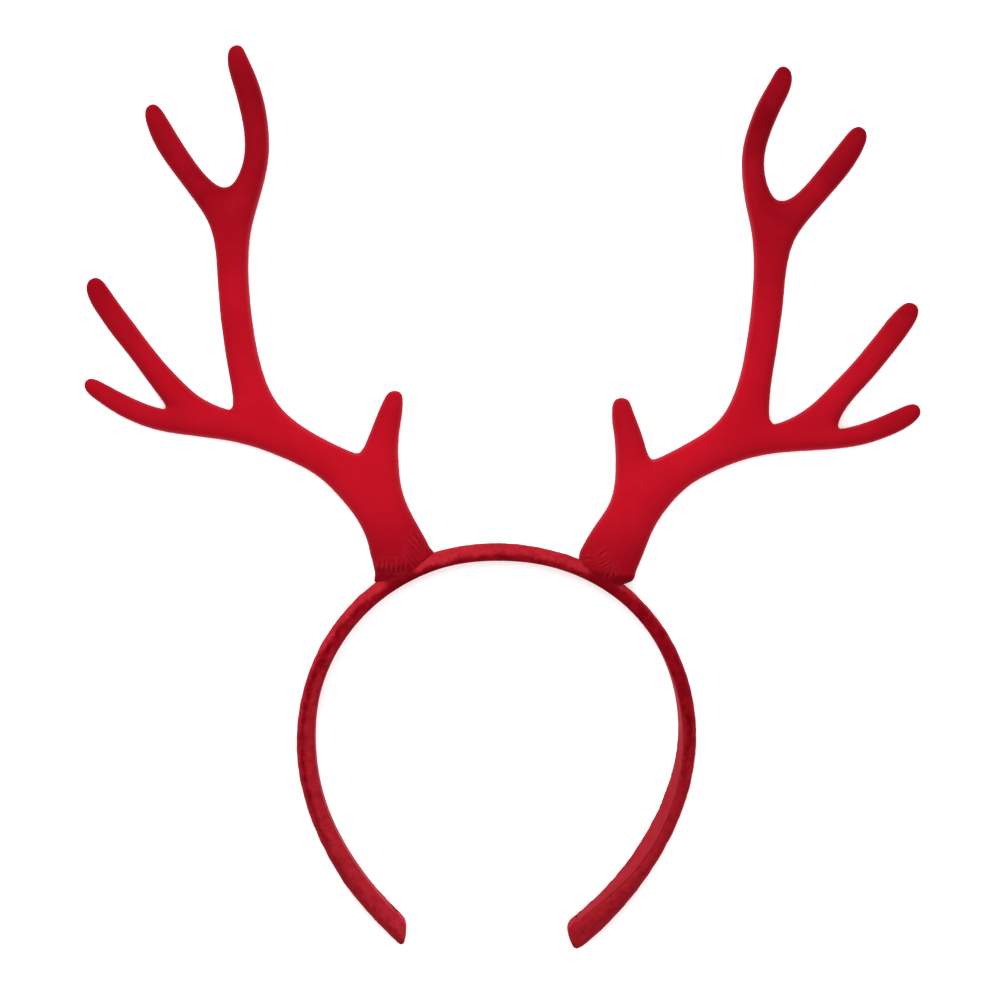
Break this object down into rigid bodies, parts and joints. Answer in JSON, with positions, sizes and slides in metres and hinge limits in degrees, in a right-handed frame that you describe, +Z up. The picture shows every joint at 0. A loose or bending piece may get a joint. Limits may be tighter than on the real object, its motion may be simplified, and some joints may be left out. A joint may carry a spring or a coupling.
{
  "type": "antler headband",
  "caption": "Velvet-covered padded headband, open at the bottom, with branching stuffed antlers sewn over its crown; worn over the head as part of a reindeer costume.",
  "frame": {"origin": "centre of the headband's footprint, on the surface it lies on", "axes": "+Y from the band's free ends over the crown to the antlers' tips, +Z up out of the surface (the front of the headband), +X to the right of someone looking down at the front, where right_antler is"},
  "size_m": [0.2936, 0.3166, 0.0132],
  "materials": {
    "headband": "crushed red velvet over a padded band",
    "inner_ribbon": "paler red ribbon, fine weave",
    "left_antler": "short-pile red velvet, stuffed",
    "right_antler": "short-pile red velvet, stuffed"
  },
  "bodies": {
    "root": {"headband": "headband", "inner_ribbon": "inner_ribbon", "left_antler": "left_antler", "right_antler": "right_antler"}
  },
  "joints": []
}
